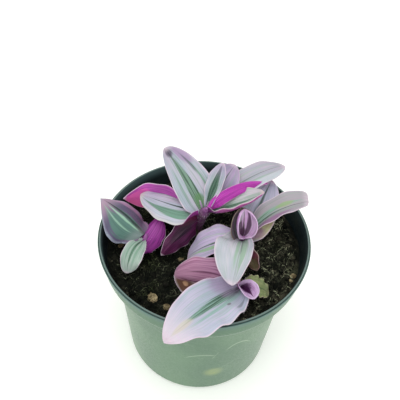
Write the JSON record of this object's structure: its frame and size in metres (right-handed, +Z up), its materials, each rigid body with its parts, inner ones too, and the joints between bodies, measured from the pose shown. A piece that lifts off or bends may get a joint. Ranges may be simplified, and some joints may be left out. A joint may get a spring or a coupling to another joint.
{
  "type": "potted tradescantia",
  "caption": "Small round nursery pot of dark soil with leafy tradescantia shoots; broad striped pale leaves with purple undersides hang over its rim.",
  "frame": {"origin": "centre of the pot's underside, on the surface that the pot stands on", "axes": "+Z up along the pot's axis, -Y towards the side that the plant is seen from, +X to the viewer's right"},
  "size_m": [0.12, 0.1369, 0.1414],
  "materials": {
    "pot_plastic": "thin moulded plastic, sage green, slightly scuffed satin",
    "soil": "crumbly dark peat with bark and fibres",
    "leaf": "fleshy blades, lilac-white with green stripes above and purple below"
  },
  "bodies": {
    "root": {"pot": "pot_plastic", "soil": "soil", "shoot_centre": "leaf", "shoot_right": "leaf", "shoot_front": "leaf", "shoot_left": "leaf"}
  },
  "joints": []
}
